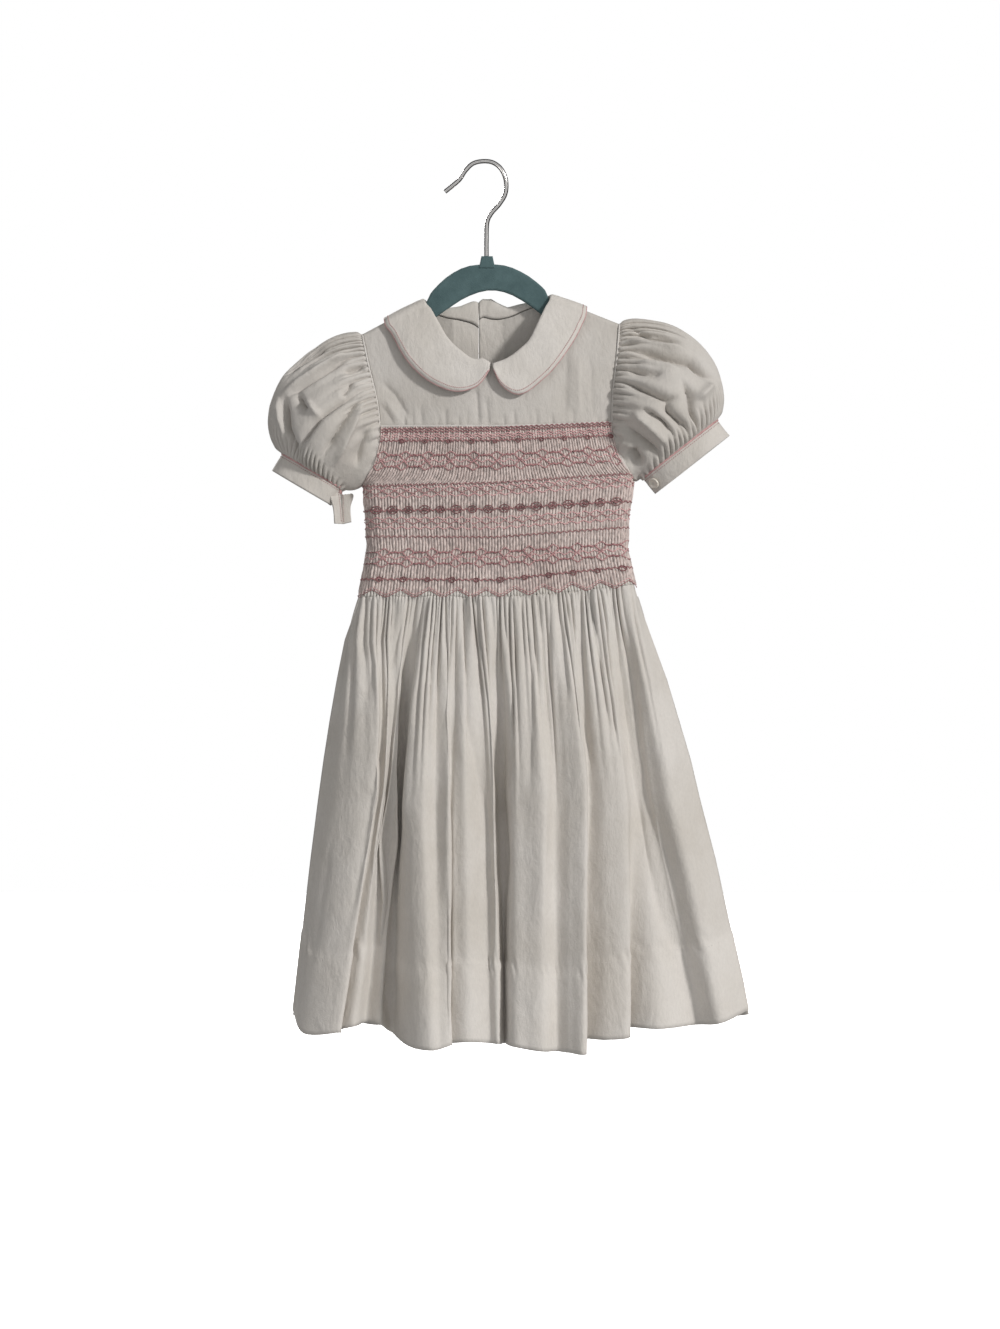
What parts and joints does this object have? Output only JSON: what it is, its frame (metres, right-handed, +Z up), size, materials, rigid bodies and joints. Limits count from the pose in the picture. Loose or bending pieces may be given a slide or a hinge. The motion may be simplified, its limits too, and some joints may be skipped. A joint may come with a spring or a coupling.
{
  "type": "smocked dress on a hanger",
  "caption": "Child's smocked cotton dress with a yoke, rounded collar, puffed sleeves with cuffs and a gathered skirt, hanging on a flocked hanger with a wire hook.",
  "frame": {"origin": "inside top of the hanger's hook, where the dress hangs", "axes": "+X to the right of the dress's front as it is seen, +Y to the back, +Z up"},
  "size_m": [0.3851, 0.0892, 0.7116],
  "materials": {
    "cotton": "off-white woven cotton, matt",
    "smocked_cotton": "off-white woven cotton, smocked in dusty pink thread above the skirt",
    "button": "pearly, glossy",
    "flock": "grey-teal flock over plastic",
    "chrome": "polished"
  },
  "bodies": {
    "root": {"front_yoke": "cotton", "front_panel": "smocked_cotton", "skirt_back": "cotton", "back_bodice_left": "cotton", "back_bodice_right": "cotton", "sleeve_left": "cotton", "sleeve_right": "cotton", "cuff_left": "cotton", "cuff_right": "cotton", "collar_left": "cotton", "collar_right": "cotton", "cuff_button": "button", "back_button_1": "button", "back_button_2": "button", "back_button_3": "button", "hanger_body": "flock", "hanger_hook": "chrome"}
  },
  "joints": []
}
